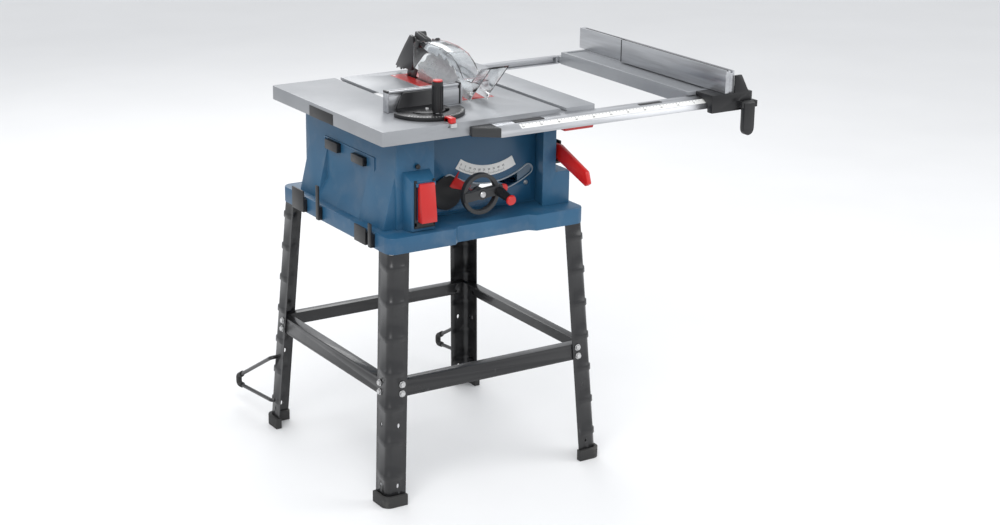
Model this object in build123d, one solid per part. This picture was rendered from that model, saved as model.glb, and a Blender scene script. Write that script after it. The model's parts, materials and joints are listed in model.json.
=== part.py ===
from build123d import *
import math
import os

# Jobsite table saw on a bolted stand. Millimetres, Z up, X along the front edge of the table,
# Y from the operator towards the back. Modelled from the floor under the table's front left
# corner, then moved so that the origin is the middle of the whole saw's footprint.

# ---- clearances ----
slideGap = 0.3          # between sliding or swinging neighbours
shaftGap = 0.06         # radial, between a shaft and its bore
screwLead = 5.0         # travel of the height nut for one turn of its screw
crankLead = 10.0        # travel of the blade for one turn of the handwheel

# ---- table ----
tableWidth = 584.0
tableDepth = 556.0
tableTop = 905.0
tableEdge = 34.0
plateThick = 8.0
apronThick = 6.0
slotWidth = 16.4
slotDepth = 9.5
slotFloor = 5.5
leftSlotX = 183.0
rightSlotX = 490.5
insertX = (312.0, 415.0)
insertY = (186.0, 516.0)
insertThick = 3.5
insertLedge = 8.0
bladeSlotX = (349.0, 363.0)
bladeSlotY = (207.0, 505.0)
tableUnder = tableTop - plateThick
tableBottom = tableTop - tableEdge

# ---- blade and drive ----
bladeX = 355.0
bladeY = 339.0
bladeRadius = 127.0
bladeRaise = 80.0       # blade above the table when fully raised
bladeBody = 1.8
bladeTeeth = 24
arborZ = tableTop + bladeRaise - bladeRadius
gearModule = 1.25
gearTeeth = 47
pinionTeeth = 11
gearReach = gearModule * (gearTeeth + pinionTeeth) / 2
motorDrop = 30.0
motorY = bladeY + math.sqrt(gearReach ** 2 - motorDrop ** 2)
motorZ = arborZ - motorDrop
motorRadius = 42.0
motorX = (150.0, 300.0)
caseX = (300.0, 344.0)
caseRadius = 35.0
innerFlangeX = 346.0
outerFlangeThick = 5.0
arborNutThick = 10.0
arborTail = 8.0
arborRadius = 7.5
bladeRight = bladeX + bladeBody / 2
bladeLeft = bladeX - bladeBody / 2
outerFlangeEnd = bladeRight + outerFlangeThick
nutEnd = outerFlangeEnd + arborNutThick

# ---- tilting frame ----
frontPlateY = (150.0, 160.0)
rearPlateY = (481.0, 490.0)
yokeX = (312.0, 332.0)
yokeZ = (876.0, 888.0)
barX = (300.0, 330.0)
barZ = (685.0, 700.0)
rodX = 322.0
rodRadius = 7.0
frontRodY = 240.0
rearRodY = 450.0
heightTravel = 80.0
bevelLimit = 45.0
shaftReach = 203.0      # from the tilt axis to the handwheel shaft
shaftAngle = -20.0      # from straight down, towards +X
shaftRadius = 6.0
screwY = 262.0
screwRadius = 6.0
mitreGearOut = 14.0
mitreGearIn = 8.0
trunnionRadius = 80.0
trunnionHalf = 20.0


def polar(reach, angle):
    """X and Z of a point on a circle about the tilt axis, angle from straight down."""
    turn = math.radians(angle)
    return bladeX + reach * math.sin(turn), tableTop - reach * math.cos(turn)


shaftX, shaftZ = polar(shaftReach, shaftAngle)

# ---- body and base flange ----
wall = 4.0
bodyX = (70.0, 514.0)
bodyY = (60.0, 514.0)
bodyBottom = 650.0
panelY = 115.0
recessLeft = 171.0
recessRight = (476.0, 491.0)
panelThick = 3.0
windowX = (186.0, 477.0)
windowZ = (658.0, 862.0)
bulgeX = 555.0
bulgeY = (60.0, 455.0)
bulgeTall = 225.0       # the bulge reaches full height behind this Y
bulgeLow = 732.0        # height of the bulge in front of it
flareTop = 775.0
flareLow = 700.0
flareOut = 30.0
flareEnds = (70.0, 190.0, 400.0, 490.0)
flangeHalf = 274.0
flangeBottom = 610.0
flangeWall = 6.0
flangeCorner = 25.0
flangeRecess = 15.0
centreX = tableWidth / 2
centreY = tableDepth / 2
slotHalf = 11.0
slotEnds = (-34.0, 33.0)
rimWide = 3.0
rimProud = 3.0
dishRadius = 42.0
dishX = 235.0
dishZ = 706.0
dishDeep = 8.0
scaleRadii = (146.0, 172.0)
scaleEnds = (-33.5, 26.0)
pointerAngle = -30.5

# ---- handwheel ----
wheelY = (30.0, 50.0)
wheelRadius = 50.0
wheelRim = 9.5
crankArm = 22.0
crankReach = 45.0
crankAngle = 5.0
knobLength = 50.0
knobDroop = 11.0
lockY = (51.5, 57.5)
lockReach = 75.0

# ---- stand ----
legTopHalf = 270.0
legFootHalfX = 304.0
legFootHalfY = 311.0
legFlat = 52.0
legThick = 2.5
legCorner = 14.0
footHeight = 28.0
footWide = 62.0
footThick = 16.0
footProud = 7.0
beamZ = (266.0, 306.0)
beamLip = 24.0
beamThick = 2.5
boltRadius = 4.0
boltHead = 7.5
boltHeadThick = 5.0
loopRadius = 5.0
loopOut = 5.0
loopHigh = 190.0
loopLow = 72.0
loopTipY = 757.0
loopSleeve = 22.0       # rubber sleeve round the end of each loop
sleeveWall = 2.6

# ---- rails and extension ----
railX = (283.0, 955.0)
railBack = -1.0
railProfile = [(-1.0, 870.0), (-1.0, 894.5), (-25.5, 893.0), (-32.8, 891.0), (-48.0, 883.0), (-53.5, 870.0)]
channelDeep = 18.0
channelZ = (875.5, 889.5)
guideX = ((300.0, 340.0), (540.0, 575.0))
beamExtX = (858.0, 938.0)
beamExtY = (0.5, 548.0)
beamOverhang = -8.0
beamTrough = 3.0
rearRailY = (tableDepth + 0.8, tableDepth + 19.0)
rearRailZ = (871.0, 892.0)
endCapLength = 55.0
extensionTravel = 271.0
fenceTravel = 250.0

# ---- rip fence ----
fenceX = (932.0, 950.0)
fenceY = (-69.7, 554.0)
fenceZ = (906.5, 962.0)
fencePlateThick = 11.0
fencePlateY = (-73.0, 360.0)
fencePlateZ = (907.0, 965.0)
carriageX = (880.0, 1005.0)
carriageFront = -75.0
handleX = (967.0, 1000.0)
handleAt = (-86.0, 878.0)
handleBottom = 800.0

# ---- guard ----
guardPivot = (402.0, 1005.0)
guardHalf = 25.0
guardWall = 2.5
knifeThick = 2.2
knifeGap = 4.5
pawlPivot = (470.0, 972.0)
pinRadius = 4.0

# ---- mitre gauge ----
mitreBarY = (-8.0, 357.0)
mitreBarBottom = 896.2
mitreAt = (leftSlotX, 115.0)
mitreBaseZ = (906.0, 915.0)
mitreDisc = 89.0
mitreFenceX = (104.0, 300.0)
mitreFenceY = (160.0, 176.0)
mitreFenceTop = 955.0
mitreStop = 4.0
mitreKnobY = 67.0
mitreKnobRadius = 12.5
mitreKnobZ = (918.0, 990.0)

# ---- controls ----
switchX = (90.0, 152.0)
switchZ = (652.0, 771.0)
switchFront = 25.0
coverX = (104.0, 144.0)
coverZ = (676.0, 767.0)
coverBack = 20.5
coverProud = 20.0
buttonRadius = 10.0
buttonTravel = 2.5
onButtonZ = 735.0
offButtonZ = 703.0
resetAt = (124.6, 797.0)
resetRadius = 6.0
stickX = (522.0, 534.0)
leverZ = (850.0, 864.0)
leverAt = (574.0, 12.0)
leverTip = 492.0
glandAt = (130.0, 700.0)
portAt = (355.0, 722.0)
portRadius = 31.75
portBore = 28.75
portLength = 38.0
panelScrews = ((247.0, 688.0), (461.0, 701.0))


# ---------------------------------------------------------------- simple shapes
def block(x0, x1, y0, y1, z0, z1):
    return Pos((x0 + x1) / 2, (y0 + y1) / 2, (z0 + z1) / 2) * Box(x1 - x0, y1 - y0, z1 - z0)


def alongX(radius, x0, x1, y, z):
    return Pos((x0 + x1) / 2, y, z) * Rot(0, 90, 0) * Cylinder(radius, x1 - x0)


def alongY(radius, y0, y1, x, z):
    return Pos(x, (y0 + y1) / 2, z) * Rot(90, 0, 0) * Cylinder(radius, y1 - y0)


def alongZ(radius, z0, z1, x, y):
    return Pos(x, y, (z0 + z1) / 2) * Cylinder(radius, z1 - z0)


def plateXZ(points, y0, y1):
    outline = Polyline(*[(x, y0, z) for x, z in points], close=True)
    return extrude(make_face(outline), amount=y1 - y0, dir=(0, 1, 0))


def plateYZ(points, x0, x1):
    outline = Polyline(*[(x0, y, z) for y, z in points], close=True)
    return extrude(make_face(outline), amount=x1 - x0, dir=(1, 0, 0))


def plateXY(points, z0, z1):
    outline = Polyline(*[(x, y, z0) for x, y in points], close=True)
    return extrude(make_face(outline), amount=z1 - z0, dir=(0, 0, 1))


def arcBand(inner, outer, start, stop, y0, y1):
    """Part of a flat ring about the tilt axis, angles from straight down."""
    ring = alongY(outer, y0, y1, bladeX, tableTop) - alongY(inner, y0 - 1, y1 + 1, bladeX, tableTop)
    middle = (start + stop) / 2
    corners = [polar(2 * outer, angle) for angle in (start, middle, stop)]
    return ring & plateXZ([(bladeX, tableTop)] + corners, y0, y1)


def arcSlot(half, start, stop, y0, y1):
    """A slot with round ends that follows the handwheel shaft."""
    slot = arcBand(shaftReach - half, shaftReach + half, start, stop, y0, y1)
    for angle in (start, stop):
        x, z = polar(shaftReach, angle)
        slot += alongY(half, y0, y1, x, z)
    return slot


# ---------------------------------------------------------------- table
def makeTable():
    top = block(0, tableWidth, 0, tableDepth, tableBottom, tableTop)
    top = fillet(top.edges().filter_by(Axis.Z), 6)
    top -= block(apronThick, tableWidth - apronThick, apronThick, tableDepth - apronThick,
                 tableBottom - 1, tableUnder)
    slotBottom = tableTop - slotDepth
    for x in (leftSlotX, rightSlotX):
        top += block(x - 18, x + 18, apronThick, tableDepth - apronThick, slotBottom - slotFloor,
                     tableUnder)
        top -= block(x - slotWidth / 2, x + slotWidth / 2, -1, tableDepth + 1, slotBottom, tableTop + 1)
        top -= block(x - 11, x + 11, -1, tableDepth + 1, slotBottom, slotBottom + 3)
    top -= block(*insertX, *insertY, tableTop - insertThick, tableTop + 1)
    top -= block(insertX[0] + insertLedge, insertX[1] - insertLedge,
                 insertY[0] + insertLedge, insertY[1] - insertLedge, tableBottom, tableTop + 1)
    for x0, x1 in guideX:
        top += block(x0, x1, railBack - channelDeep + 0.5, apronThick, channelZ[0] + 0.4, channelZ[1] - 0.4)
        top += block(x0, x1, tableDepth - apronThick, rearRailY[1] - 5, channelZ[0] + 0.4,
                     channelZ[1] - 0.4)
    top += block(tableWidth - 26, tableWidth - apronThick, apronThick, 24, tableBottom, tableUnder)
    top += alongZ(pinRadius, leverZ[0] - 4, tableBottom, *leverAt)
    return top


def makeInsert():
    plate = block(insertX[0], insertX[1], insertY[0], insertY[1], tableTop - insertThick, tableTop)
    return plate - block(*bladeSlotX, *bladeSlotY, tableTop - insertThick - 1, tableTop + 1)


# ---------------------------------------------------------------- body
def bodyOutline(inset):
    left = bodyX[0] + inset
    right = bodyX[1] - inset
    front = bodyY[0] + inset
    back = bodyY[1] - inset
    return [(left, front), (recessLeft - inset, front), (recessLeft - inset, panelY + inset),
            (recessRight[1] + inset, panelY + inset), (recessRight[0] + inset, front),
            (right, front), (right, back), (left, back)]


def makeHousing():
    shell = plateXY(bodyOutline(0), bodyBottom, tableBottom)
    edge = bodyX[0]
    for y0, y1, top in ((flareEnds[0], flareEnds[1], flareTop), (flareEnds[2], flareEnds[3], flareTop),
                       (flareEnds[1], flareEnds[2], flareLow)):
        shell += plateXZ([(edge, top), (edge - flareOut, bodyBottom), (edge, bodyBottom)], y0, y1)
    right = bodyX[1]
    bulge = [(right, 766), (bulgeX, 738), (bulgeX, bodyBottom), (right, bodyBottom)]
    shell += plateXZ(bulge, bulgeTall, bulgeY[1])
    shell += block(right, bulgeX, bulgeY[0], bulgeTall, bodyBottom, bulgeLow)
    shell -= plateXY(bodyOutline(wall), bodyBottom - 1, tableBottom + 1)
    hollow = [(right - wall - 1, 763), (right, 761), (bulgeX - wall, 734), (bulgeX - wall, bodyBottom - 1),
              (right - wall - 1, bodyBottom - 1)]
    shell -= plateXZ(hollow, bulgeTall, bulgeY[1] - wall)
    shell -= block(right + wall, bulgeX - wall, bulgeY[0] + wall, bulgeTall - wall, bodyBottom - 1,
                   bulgeLow - wall)
    shell -= block(*windowX, panelY - 1, panelY + wall + 1, *windowZ)
    shell -= alongY(portBore, bodyY[1] - wall - 1, bodyY[1] + 1, *portAt)
    shell -= alongY(resetRadius - 2 + slideGap, bodyY[0] - 1, bodyY[0] + wall + 1, *resetAt)
    shell -= block(switchX[0] + 10, switchX[1] - 10, bodyY[0] - 1, bodyY[0] + wall + 1, 680, 760)
    return shell


def makePanel():
    back = panelY - panelThick
    panel = block(recessLeft, recessRight[1] - 2, back, panelY, bodyBottom + 6, tableBottom - 3)
    slope = (recessRight[1] - recessRight[0]) / (panelY - bodyY[0])
    reach = recessRight[1] - slope * panelThick
    panel -= block(reach - 0.2, recessRight[1] + 1, back - 1, panelY + 1, bodyBottom, tableBottom)
    panel += arcSlot(slotHalf + rimWide, *slotEnds, back - rimProud, back)
    panel += alongY(dishRadius + panelThick, panelY, panelY + dishDeep, dishX, dishZ)
    panel -= alongY(dishRadius, back - rimProud - 1, back + dishDeep, dishX, dishZ)
    panel -= arcSlot(slotHalf, *slotEnds, back - rimProud - 1, panelY + dishDeep + 1)
    for x, z in panelScrews:
        panel -= alongY(2.5, back - 1, panelY + 1, x, z)
    return panel


def makeFlange():
    x0 = centreX - flangeHalf
    x1 = centreX + flangeHalf
    y0 = centreY - flangeHalf
    y1 = centreY + flangeHalf
    solid = block(x0, x1, y0, y1, flangeBottom, bodyBottom)
    solid = fillet(solid.edges().filter_by(Axis.Z), flangeCorner)
    notch = [(197, y0 - 1), (212, y0 + flangeRecess), (410, y0 + flangeRecess), (426, y0 - 1)]
    solid -= plateXY(notch, flangeBottom - 1, bodyBottom + 1)
    inside = block(x0 + flangeWall, x1 - flangeWall, y0 + flangeRecess + flangeWall, y1 - flangeWall,
                   flangeBottom - 1, bodyBottom - flangeWall)
    solid -= fillet(inside.edges().filter_by(Axis.Z), flangeCorner - flangeWall)
    return solid - block(bodyX[0] + wall, bodyX[1] - wall, panelY + wall, bodyY[1] - wall,
                         flangeBottom, bodyBottom + 1)


def makeScale():
    back = panelY - panelThick
    return arcBand(*scaleRadii, *scaleEnds, back - 1.5, back)


def makeTrunnions():
    group = Part()
    outer = trunnionRadius + trunnionHalf
    inner = trunnionRadius - trunnionHalf
    for face, away in ((frontPlateY[0] - slideGap, -1), (rearPlateY[1] + slideGap, 1)):
        y0, y1 = sorted((face, face + 18 * away))
        half = alongY(outer, y0, y1, bladeX, tableTop) - alongY(inner, y0 - 1, y1 + 1, bladeX, tableTop)
        half &= block(bladeX - outer - 1, bladeX + outer + 1, y0, y1, tableTop - outer - 1, tableUnder)
        g0, g1 = sorted((face, face + 7 * away))
        groove = alongY(trunnionRadius + 5, g0 - 0.001, g1, bladeX, tableTop)
        groove -= alongY(trunnionRadius - 5, g0 - 1, g1 + 1, bladeX, tableTop)
        group += half - groove
    return group


def makeSwitchBox():
    back = bodyY[0]
    foot = make_face(Polyline((86, back, 650), (158, back, 650), (158, back, 788), (86, back, 788),
                              close=True))
    x0, x1 = switchX
    z0, z1 = switchZ
    face = make_face(Polyline((x0, switchFront, z0), (x1, switchFront, z0), (x1, switchFront, z1),
                              (x0, switchFront, z1), close=True))
    box = loft([foot, face], ruled=True)
    box -= block(x0 + 7, x1 - 7, switchFront + 3, back + 1, z0 + 8, z1 - 8)
    for z in (onButtonZ, offButtonZ):
        box -= alongY(buttonRadius + slideGap, switchFront - 1, switchFront + 4, sum(coverX) / 2, z)
    hingeY = switchFront - 5
    for x in (coverX[0] - 5, coverX[1] + 1):
        box += block(x, x + 4, hingeY - 4, switchFront, coverZ[1] - 7, coverZ[1] + 1)
    pin = alongX(2, coverX[0] - 2, coverX[1] + 2, hingeY, coverZ[1] - 3)
    return box + pin


def makeClips():
    group = Part()
    for y0, y1, z0, z1 in ((330, 392, 775, 799), (201, 260, 772, 793)):
        group += block(bodyX[0] - 12, bodyX[0], y0, y1, z0, z1)
    left = centreX - flangeHalf
    for y0, y1, high in ((70, 84, 672), (96, 150, 655), (330, 344, 700), (410, 470, 668)):
        group += block(left - 12, left, y0, y1, 614, 646) + block(left - 12, left - 8, y0, y1, 646, high)
    return group


def makePort():
    back = bodyY[1]
    port = alongY(portRadius, back, back + portLength, *portAt) + alongY(portRadius + 8, back, back + 4,
                                                                         *portAt)
    return port - alongY(portBore, back - 1, back + portLength + 1, *portAt)


def makeGland():
    back = bodyY[1]
    gland = alongY(11, back, back + 6, *glandAt) + alongY(8, back + 6, back + 20, *glandAt)
    return gland - alongY(4, back - 1, back + 21, *glandAt)


# ---------------------------------------------------------------- stand
def legCornerAt(z):
    """Half sizes of the stand at a height, measured to the outside of the legs."""
    share = z / flangeBottom
    return (legFootHalfX + (legTopHalf - legFootHalfX) * share,
            legFootHalfY + (legTopHalf - legFootHalfY) * share)


def angleFace(sx, sy, hx, hy, flat, thick, corner, z):
    """Section of a leg or foot: an angle with a round outer corner, open towards the middle."""
    def at(u, v):
        return (centreX + sx * (hx - u), centreY + sy * (hy - v), z)
    bend = corner * (1 - math.sqrt(0.5))
    inner = corner - thick if corner > thick else 0.5
    bendIn = thick + inner * (1 - math.sqrt(0.5))
    path = [Line(at(flat, 0), at(corner, 0)),
            ThreePointArc(at(corner, 0), at(bend, bend), at(0, corner)),
            Line(at(0, corner), at(0, flat)),
            Line(at(0, flat), at(thick, flat)),
            Line(at(thick, flat), at(thick, thick + inner)),
            ThreePointArc(at(thick, thick + inner), at(bendIn, bendIn), at(thick + inner, thick)),
            Line(at(thick + inner, thick), at(flat, thick)),
            Line(at(flat, thick), at(flat, 0))]
    return make_face(path)


def legSolid(sx, sy):
    low = 4.0
    hx, hy = legCornerAt(low)
    face = angleFace(sx, sy, hx, hy, legFlat, legThick, legCorner, low)
    lean = Vector(sx * (legTopHalf - legFootHalfX), sy * (legTopHalf - legFootHalfY), flangeBottom)
    length = lean.length * (flangeBottom - low) / flangeBottom
    return extrude(face, amount=length, dir=lean.normalized())


def legBolts(sx, sy):
    """Each leg's bolts through its two flats and the beams behind them."""
    bolts = []
    for z in (beamZ[0] + 9, beamZ[1] - 9):
        hx, hy = legCornerAt(z)
        reach = legThick + beamThick + 1
        x = centreX + sx * (hx - 38)
        y = centreY + sy * hy
        bolts.append(alongY(boltRadius, *sorted((y + sy * 0.6, y - sy * reach)), x, z)
                     + alongY(boltHead, *sorted((y + sy * 0.6, y + sy * (0.6 + boltHeadThick))), x, z))
        x = centreX + sx * hx
        y = centreY + sy * (hy - 38)
        bolts.append(alongX(boltRadius, *sorted((x + sx * 0.6, x - sx * reach)), y, z)
                     + alongX(boltHead, *sorted((x + sx * 0.6, x + sx * (0.6 + boltHeadThick))), y, z))
    return bolts


def beamPoints(middle, side, index):
    """Beam section: a face that follows the slope of the legs and a lip towards the middle."""
    low = middle + side * (legCornerAt(beamZ[0])[index] - legThick)
    high = middle + side * (legCornerAt(beamZ[1])[index] - legThick)
    t = beamThick * side
    lip = beamLip * side
    return [(low, beamZ[0]), (high, beamZ[1]), (high - lip, beamZ[1]), (high - lip, beamZ[1] - beamThick),
            (high - t, beamZ[1] - beamThick), (low - t, beamZ[0])]


def makeBeam(name):
    hx, hy = legCornerAt(beamZ[1])
    halfX = hx - legThick - legCorner
    halfY = hy - legThick - beamLip - 1
    if name in ("front", "rear"):
        side = -1 if name == "front" else 1
        beam = plateYZ(beamPoints(centreY, side, 1), centreX - halfX, centreX + halfX)
    else:
        side = -1 if name == "left" else 1
        beam = plateXZ(beamPoints(centreX, side, 0), centreY - halfY, centreY + halfY)
    return beam


def loopSolid(side, radius):
    hx, hy = legCornerAt(loopLow)
    plane = centreX + side * (hx + loopRadius + loopOut)
    inside = centreX + side * (legCornerAt(loopHigh)[0] - legThick - 3)
    start = centreY + hy - 24
    points = [(inside, start, loopHigh), (plane, start, loopHigh), (plane, loopTipY, 76),
              (plane, loopTipY, 54),
              (plane, start, loopLow), (inside, start, loopLow)]
    path = FilletPolyline(*points, radius=8)
    return sweep(Plane(points[0], z_dir=(side, 0, 0)) * Circle(radius), path=path)


def makeStand(nodes):
    legs = {}
    for name, sx, sy in (("leg_front_left", -1, -1), ("leg_front_right", 1, -1),
                         ("leg_rear_left", -1, 1), ("leg_rear_right", 1, 1)):
        legs[name] = (sx, sy, legSolid(sx, sy))
    beams = {"beam_" + name: makeBeam(name) for name in ("front", "rear", "left", "right")}
    loops = {"tip_loop_left": loopSolid(-1, loopRadius), "tip_loop_right": loopSolid(1, loopRadius)}
    feet = Part()
    bolts = Part()
    for name, (sx, sy, leg) in legs.items():
        foot = extrude(angleFace(sx, sy, legFootHalfX + footProud, legFootHalfY + footProud,
                                 footWide, footThick, legCorner + footProud, 0), amount=footHeight,
                                 dir=(0, 0, 1))
        feet += foot - leg
        for bolt in legBolts(sx, sy):
            leg -= bolt
            beams = {key: beam - bolt for key, beam in beams.items()}
            bolts += bolt
        for loop in loops.values():
            leg -= loop
        nodes[name] = leg
    nodes.update(beams)
    nodes.update(loops)
    for side, loop in ((-1, loops["tip_loop_left"]), (1, loops["tip_loop_right"])):
        plane = centreX + side * (legCornerAt(loopLow)[0] + loopRadius + loopOut)
        cap = block(plane - 12, plane + 12, loopTipY - loopSleeve, loopTipY + 20, 35, 100)
        feet += (loopSolid(side, loopRadius + sleeveWall) & cap) - loop
    for x, z in panelScrews:
        back = panelY - panelThick
        bolts += alongY(2.5, back, panelY, x, z) + alongY(5, back - 3, back, x, z)
    nodes["rubber_feet"] = feet
    nodes["bolts"] = bolts


# ---------------------------------------------------------------- tilting frame
def local(points):
    return [(bladeX + u, tableTop + v) for u, v in points]


tiltOutline = [(-50, -15), (0, -22), (60, -85), (60, -143), (-12, -215), (-92, -215), (-92, -60)]


def makeTiltFrame():
    frame = plateXZ(local(tiltOutline), *frontPlateY) + plateXZ(local(tiltOutline), *rearPlateY)
    frame += block(*barX, frontPlateY[1], rearPlateY[0], *barZ)
    frame += block(shaftX - 14, barX[0] + 1, screwY - 14, screwY + 14, *barZ)
    frame += block(*yokeX, frontPlateY[1], frontRodY + 12, *yokeZ)
    frame += block(*yokeX, rearRodY - 12, rearPlateY[0], *yokeZ)
    for face, away in ((frontPlateY[0], -1), (rearPlateY[1], 1)):
        y0, y1 = sorted((face, face + 5.5 * away))
        frame += arcBand(trunnionRadius - 4.7, trunnionRadius + 4.7, -40, 15, y0, y1)
    frame -= alongY(shaftRadius + shaftGap, frontPlateY[0] - 1, frontPlateY[1] + 1, shaftX, shaftZ)
    frame -= alongZ(4 + shaftGap, barZ[0] - 1, barZ[1] + 1, shaftX, screwY)
    for y in (frontRodY, rearRodY):
        frame -= alongZ(rodRadius, barZ[0] + 3, yokeZ[1] - 3, rodX, y)
    return frame


def makeRods():
    group = Part()
    for y in (frontRodY, rearRodY):
        group += alongZ(rodRadius, barZ[0] + 3, yokeZ[1] - 3, rodX, y)
    return group


def makePointer():
    back = panelY - panelThick - rimProud - 1
    plate = alongY(13, back - 4, back, shaftX, shaftZ)
    plate += plateXZ([polar(shaftReach + 8, shaftAngle), polar(shaftReach - 8, shaftAngle),
                      polar(shaftReach - 14, pointerAngle), polar(shaftReach + 14, pointerAngle)],
                      back - 4, back)
    plate += plateXZ([polar(174, pointerAngle), polar(216, pointerAngle - 1.4),
                      polar(216, pointerAngle + 1.4)],
                     back - 4, back)
    plate += alongY(9, back, frontPlateY[0], shaftX, shaftZ)
    return plate - alongY(shaftRadius + shaftGap, back - 5, frontPlateY[0] + 1, shaftX, shaftZ)


def makeKnife():
    x0 = bladeX - knifeThick / 2
    reach = bladeRadius + knifeGap
    front = []
    for angle in (20.6, 30, 40, 50):
        turn = math.radians(angle)
        front.append((bladeY + reach * math.cos(turn), arborZ + reach * math.sin(turn)))
    points = [(rearPlateY[0] - 11, 800), (rearPlateY[0] - 11, 888)] + front
    points += [(guardPivot[0] - 4, guardPivot[1] - 9), (guardPivot[0] - 9, guardPivot[1] + 4),
               (guardPivot[0], guardPivot[1] + 9), (451, 1016), (491, 981), (503, 905), (503, 888),
               (rearPlateY[0], 888), (rearPlateY[0], 800)]
    knife = plateYZ(points, x0, x0 + knifeThick)
    knife -= alongX(pinRadius + shaftGap, x0 - 1, x0 + knifeThick + 1, *guardPivot)
    return knife - alongX(pinRadius + shaftGap, x0 - 1, x0 + knifeThick + 1, *pawlPivot)


def makePawls():
    group = alongX(pinRadius, bladeX - 6, bladeX + 6, *pawlPivot)
    y, z = pawlPivot
    shape = [(y - 9, z - 2), (y - 4, z + 9), (y + 6, z + 9), (y + 62, z - 22), (y + 80, z - 58),
             (y + 62, z - 50),
             (y + 58, z - 58), (y + 44, z - 44), (y + 40, z - 52), (y + 20, z - 20)]
    for x0 in (bladeX - 6, bladeX + knifeThick / 2 + slideGap + 0.1):
        group += plateYZ(shape, x0, x0 + 6 - knifeThick / 2 - slideGap - 0.1)
    return group


def makeGuardBracket():
    y, z = guardPivot
    shape = [(y - 8, z + 2), (y - 2, z + 9), (y + 50, z + 20), (y + 54, z + 6), (y + 2, z - 8)]
    bracket = alongX(pinRadius, bladeX - guardHalf - 3, bladeX + guardHalf + 3, y, z)
    for side in (-1, 1):
        x0, x1 = sorted((bladeX + side * (knifeThick / 2 + slideGap), bladeX + side * 7))
        bracket += plateYZ(shape, x0, x1)
        x0, x1 = sorted((bladeX + side * guardHalf + side * 0.6, bladeX + side * (guardHalf + 7)))
        bracket += alongX(9, x0, x1, y, z)
    return bracket + alongX(8, bladeX + 7, bladeX + 18, y + 44, z + 12)


def guardOutline(drop):
    top = [(y, z - drop) for y, z in ((418, 1010), (350, 1015), (296, 1013), (250, 1003), (226, 989),
                                      (215, 980),
                                      (194, 955), (157, 955), (112, 995), (68, 1007))]
    return top


def makeGuard():
    x0 = bladeX - guardHalf
    x1 = bladeX + guardHalf
    foot = [(149, 925), (163, 908), (430, 940), (430, 1000)]
    shell = plateYZ(guardOutline(0) + foot, x0, x1)
    inner = guardOutline(guardWall)[:-1] + [(80, 1001), (60, 1001), (60, 890), (440, 890), (440, 1005)]
    shell -= plateYZ(inner, x0 + guardWall, x1 - guardWall)
    shell -= block(x0 + guardWall, x1 - guardWall, 378, 440, 890, 1030)
    return shell - alongX(pinRadius + shaftGap, x0 - 1, x1 + 1, *guardPivot)


# ---------------------------------------------------------------- blade, motor and height drive
def makeBlade():
    root = bladeRadius - 7
    points = []
    for tooth in range(bladeTeeth):
        start = 2 * math.pi * tooth / bladeTeeth
        for reach, turn in ((bladeRadius, 0.0), (bladeRadius - 1.5, 0.10), (root, 0.17), (root, 0.23)):
            angle = start + turn
            points.append((bladeY + reach * math.cos(angle), arborZ + reach * math.sin(angle)))
    blade = plateYZ(points, bladeLeft, bladeRight)
    return blade - alongX(arborRadius, bladeLeft - 1, bladeRight + 1, bladeY, arborZ)


def makeArbor():
    at = (bladeY, arborZ)
    arbor = alongX(5, caseX[0] + 3, caseX[0] + 14, *at) + alongX(arborRadius, caseX[0] + 14,
                                                                 nutEnd + arborTail, *at)
    arbor += alongX(gearModule * (gearTeeth + 1) / 2, caseX[0] + 16, caseX[0] + 26, *at)
    return arbor + alongX(27, innerFlangeX, bladeLeft, *at)


def makeOuterFlange():
    flange = alongX(24, bladeRight, outerFlangeEnd, bladeY, arborZ)
    return flange - alongX(arborRadius, bladeRight - 1, outerFlangeEnd + 1, bladeY, arborZ)


def makeArborNut():
    nut = [(bladeY + 13 * math.cos(math.radians(a)), arborZ + 13 * math.sin(math.radians(a)))
           for a in range(0, 360, 60)]
    return plateYZ(nut, outerFlangeEnd, nutEnd) - alongX(arborRadius, outerFlangeEnd - 1, nutEnd + 1,
                                                         bladeY, arborZ)


def makeRotor():
    at = (motorY, motorZ)
    rotor = alongX(6, motorX[0] + 6, caseX[0] + 26, *at) + alongX(22, motorX[0] + 30, motorX[1] - 20, *at)
    return rotor + alongX(gearModule * (pinionTeeth - 1.4) / 2, caseX[0] + 16, caseX[0] + 26, *at)


def makeGearcase():
    arbor = (bladeY, arborZ)
    motor = (motorY, motorZ)
    case = alongX(caseRadius, *caseX, *arbor) + alongX(motorRadius, *caseX, *motor)
    case += block(caseX[0] + 8, caseX[1] - 8, frontRodY, rearRodY, arborZ - 50, arborZ - 5)
    nutZ = (arborZ - 43, arborZ - 13)
    case += block(shaftX, caseX[0] + 12, screwY - 12, screwY + 12, *nutZ) + alongZ(13, *nutZ, shaftX,
                                                                                   screwY)
    case += block(caseX[0] + 8, caseX[1] - 8, screwY - 12, bladeY, *nutZ)
    for y in (frontRodY, rearRodY):
        case += alongZ(13, arborZ - 58, arborZ + 2, rodX, y)
    for y in (frontRodY, rearRodY):
        case -= alongZ(rodRadius + shaftGap, arborZ - 60, arborZ + 4, rodX, y)
    case -= alongZ(screwRadius + shaftGap, nutZ[0] - 1, nutZ[1] + 1, shaftX, screwY)
    case -= alongX(gearModule * (gearTeeth + 1) / 2 + 1.5, caseX[0] + 14, caseX[0] + 28, *arbor)
    case -= alongX(10, caseX[0] - 1, caseX[0] + 28, *motor)
    case -= alongX(17.5, caseX[0] + 30, caseX[1] + 1, *arbor)
    case -= alongX(13, caseX[0] - 1, caseX[0] + 12, *arbor)
    return case - alongX(9, caseX[0] + 11, caseX[0] + 31, *arbor)


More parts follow.
